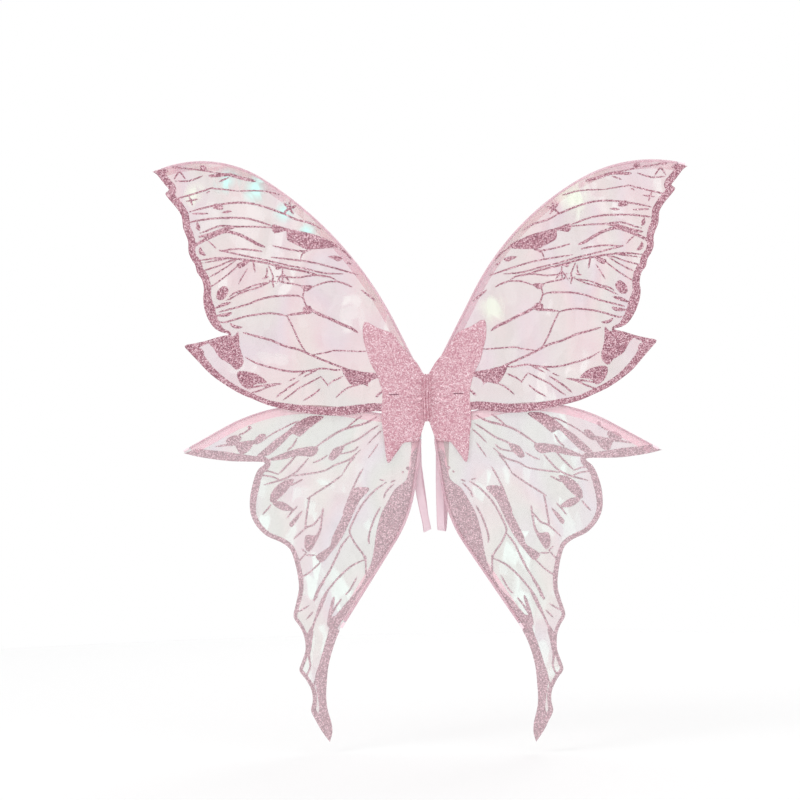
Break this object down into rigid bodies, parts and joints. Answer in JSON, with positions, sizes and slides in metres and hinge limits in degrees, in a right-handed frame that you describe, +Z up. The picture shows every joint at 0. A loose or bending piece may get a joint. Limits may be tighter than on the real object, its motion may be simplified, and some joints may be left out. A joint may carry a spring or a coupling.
{
  "type": "fairy wings",
  "caption": "Pair of sheer costume wings with glitter vein patterns on bent wire frames, folding at a soft back pad with elastic arm loops.",
  "frame": {"origin": "centre of the back pad's rear face, which rests on the wearer's back", "axes": "+Z up along the wearer's spine, +Y out of the pad's rear face towards the wearer, +X to the right seen from the decorated face"},
  "size_m": [0.5798, 0.0785, 0.6372],
  "materials": {
    "sheer_film": "sheer pearly organza with a faint iridescence",
    "glitter_fabric": "pink fabric densely covered with fine glitter",
    "glitter_print": "mauve-pink fine glitter stuck to the film in a vein pattern",
    "tape": "pale pink translucent binding tape",
    "elastic": "pale pink satin elastic",
    "pad_felt": "soft pink felt",
    "foam": "pink foam",
    "thread": "mauve sewing thread",
    "wire": "thin steel wire"
  },
  "bodies": {
    "root": {"back_pad": "pad_felt", "centre_panel": "pad_felt", "body_core": "foam", "centre_band": "glitter_fabric", "band_stitches": "thread", "left_hinge_channel": "pad_felt", "right_hinge_channel": "pad_felt", "left_strap": "elastic", "right_strap": "elastic", "strap_stitches": "thread"},
    "left_wing": {"left_frame_wire": "wire", "left_hind_wire": "wire", "left_wire_crimp": "wire", "left_wire_caps": "tape", "left_upper_film": "sheer_film", "left_lower_film": "sheer_film", "left_upper_binding": "tape", "left_hind_binding": "tape", "left_tail_binding": "tape", "left_cover": "glitter_fabric", "left_cover_stitch": "thread"},
    "right_wing": {"right_frame_wire": "wire", "right_hind_wire": "wire", "right_wire_crimp": "wire", "right_wire_caps": "tape", "right_upper_film": "sheer_film", "right_lower_film": "sheer_film", "right_upper_binding": "tape", "right_hind_binding": "tape", "right_tail_binding": "tape", "right_cover": "glitter_fabric", "right_cover_stitch": "thread"}
  },
  "joints": [
    {"name": "left_fold", "type": "hinge", "parent": "root", "child": "left_wing", "pos_m": [-0.0085, -0.0086, 0], "axis": [0, 0, 1], "range_deg": [-12, 75], "stiffness_Nm_per_rad": 0.01},
    {"name": "right_fold", "type": "hinge", "parent": "root", "child": "right_wing", "pos_m": [0.0085, -0.0086, 0], "axis": [0, 0, -1], "range_deg": [-12, 75], "stiffness_Nm_per_rad": 0.01}
  ]
}
